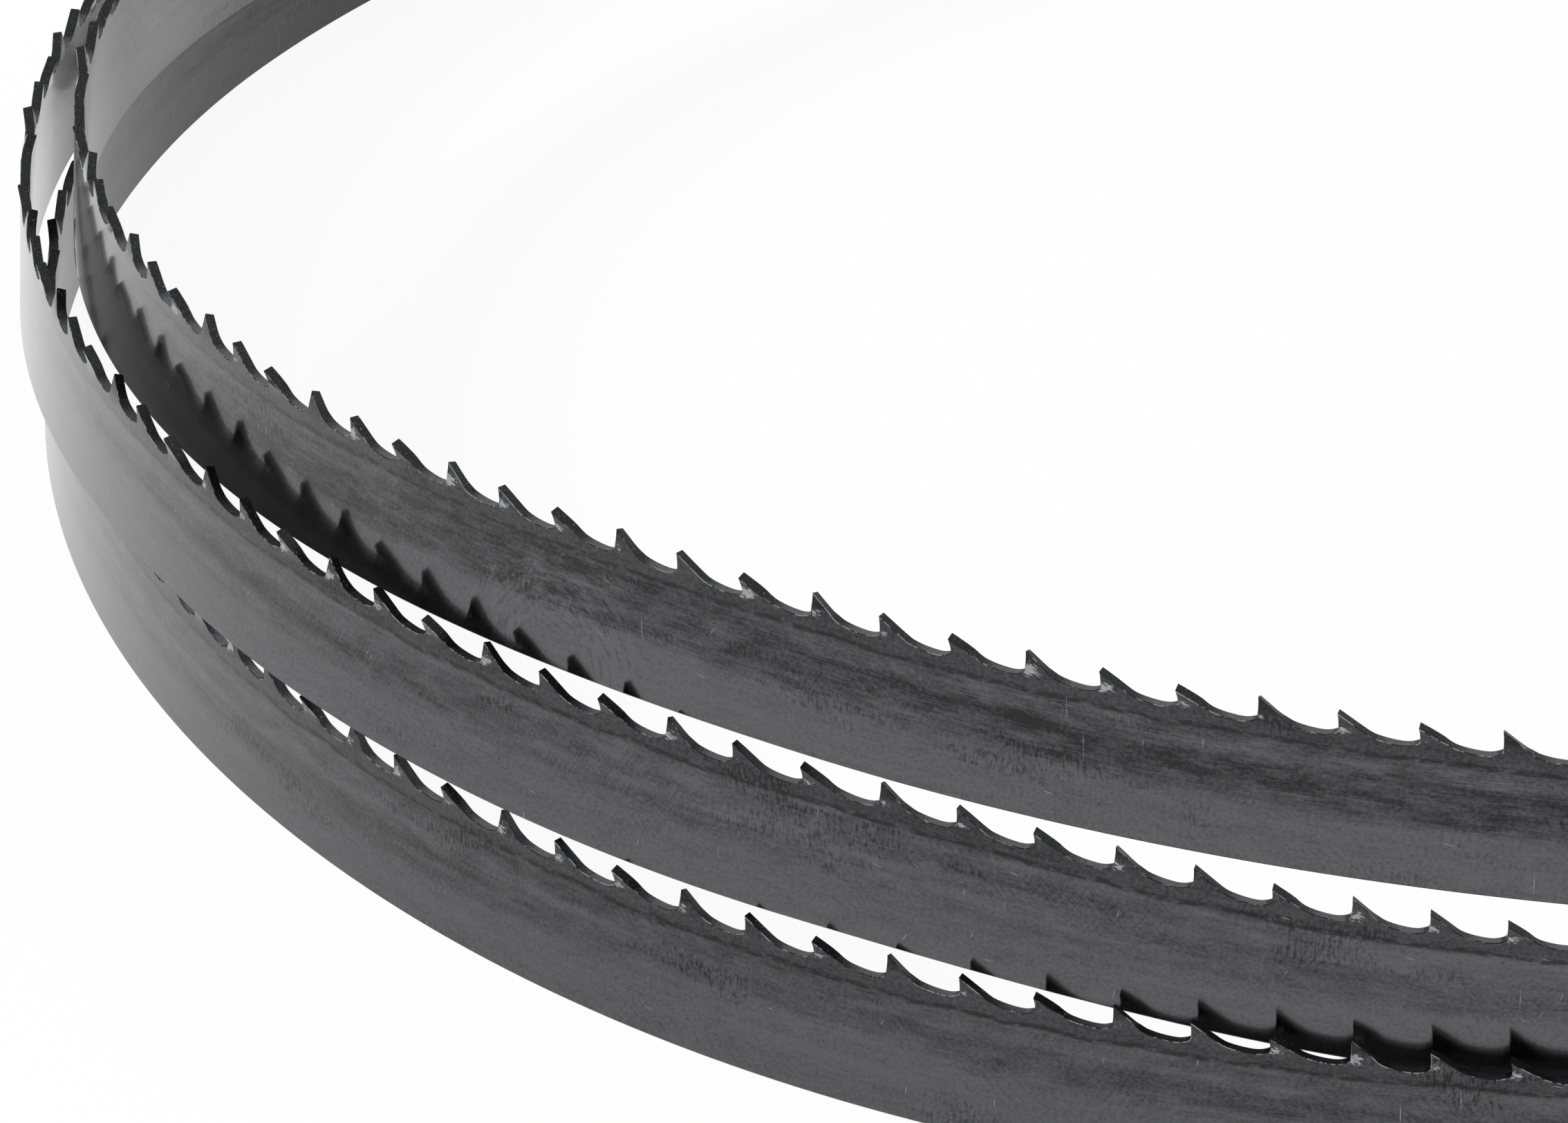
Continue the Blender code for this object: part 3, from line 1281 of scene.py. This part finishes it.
@dataclass
class Studio:
    """The floor, the light and the camera; places in metres, turns in degrees."""

    finish: StudioFinish = StudioFinish()
    floor_reach: float = 2.5
    floor_level: float = -0.00002
    sky_strength: float = 0.50
    lamp_place: tuple[float, float, float] = (-1.3, 0.1, 1.0)
    lamp_size: tuple[float, float] = (0.5, 0.4)
    lamp_power: float = 23.0
    camera_place: tuple[float, float, float] = (-0.04958, -0.48785, 0.24356)
    camera_pitch: float = 27.743
    camera_roll: float = 2.799
    lens: float = 199.9
    sensor: float = 36.0
    clip: tuple[float, float] = (0.01, 20.0)

    def build(self) -> None:
        """Make the whole studio."""
        self._floor()
        self._sky()
        self._lamp()
        self._camera()

    def _floor(self) -> None:
        """Lay the plain pale floor under the coil."""
        mesh = bpy.data.meshes.new("studio_floor")
        reach, level = self.floor_reach, self.floor_level
        ways = ((-1, -1), (1, -1), (1, 1), (-1, 1))
        corners = [(reach * x, reach * y, level) for x, y in ways]
        mesh.from_pydata(corners, [], [(0, 1, 2, 3)])
        mesh.materials.append(self.finish.floor_material("paper_matt_white"))
        floor = bpy.data.objects.new("studio_floor", mesh)
        bpy.context.scene.collection.objects.link(floor)

    def _sky(self) -> None:
        """Put soft white light all round."""
        world = bpy.data.worlds.new("studio_sky")
        world.use_nodes = True
        light = {"Color": linear(self.finish.white), "Strength": self.sky_strength}
        fill_inputs(world.node_tree, world.node_tree.nodes["Background"], light)
        bpy.context.scene.world = world

    def _lamp(self) -> None:
        """Hang one soft lamp that looks at the coil."""
        data = bpy.data.lights.new("key_lamp", "AREA")
        data.shape = "RECTANGLE"
        data.size, data.size_y = self.lamp_size
        data.energy = self.lamp_power
        lamp = bpy.data.objects.new("key_lamp", data)
        lamp.location = self.lamp_place
        # The metal mirrors the white round it, not the lamp itself
        lamp.visible_glossy = False
        lamp.rotation_euler = (-Vector(self.lamp_place)).to_track_quat("-Z", "Y").to_euler()
        bpy.context.scene.collection.objects.link(lamp)

    def _camera(self) -> None:
        """Stand the camera at the photograph's place and angle."""
        pitch, roll = math.radians(self.camera_pitch), math.radians(self.camera_roll)
        ahead = Vector((0.0, math.cos(pitch), -math.sin(pitch)))
        level_up = Vector((0.0, math.sin(pitch), math.cos(pitch)))
        level_right = Vector((1.0, 0.0, 0.0))
        right = level_right * math.cos(roll) + level_up * math.sin(roll)
        upward = level_up * math.cos(roll) - level_right * math.sin(roll)
        data = bpy.data.cameras.new("studio_camera")
        data.lens = self.lens
        data.sensor_width = self.sensor
        data.clip_start, data.clip_end = self.clip
        camera = bpy.data.objects.new("studio_camera", data)
        turned = Matrix((right, upward, -ahead)).transposed().to_4x4()
        camera.matrix_world = Matrix.Translation(self.camera_place) @ turned
        bpy.context.scene.collection.objects.link(camera)
        bpy.context.scene.camera = camera


def centre_on_frame(piece: bpy.types.Object) -> None:
    """Move a piece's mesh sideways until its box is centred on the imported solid's box.

    Args:
        piece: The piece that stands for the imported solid.
    """
    low, high = (Vector(corner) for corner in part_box(NODE))
    points = np.empty(len(piece.data.vertices) * 3)
    piece.data.vertices.foreach_get("co", points)
    points = points.reshape(-1, 3)
    middle = (points.min(axis=0) + points.max(axis=0)) / 2.0
    wanted = (low + high) / 2.0
    piece.data.transform(Matrix.Translation((wanted.x - middle[0], wanted.y - middle[1], 0.0)))


def main() -> None:
    """Build the blade and the studio, and report each piece."""
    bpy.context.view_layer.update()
    bpy.context.scene.view_settings.view_transform = "Standard"
    band = Band()
    run = Run(band)
    blade = Blade(band, run).make("blade")
    centre_on_frame(blade)
    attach(blade, "root")
    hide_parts(NODE)
    faces = len(blade.data.polygons)
    LOG.info("blade: %d teeth on %.3f m of band, %d faces", run.teeth, run.length, faces)
    Studio().build()
    LOG.info("studio: floor, sky, lamp and camera")


if __name__ == "__main__":
    main()
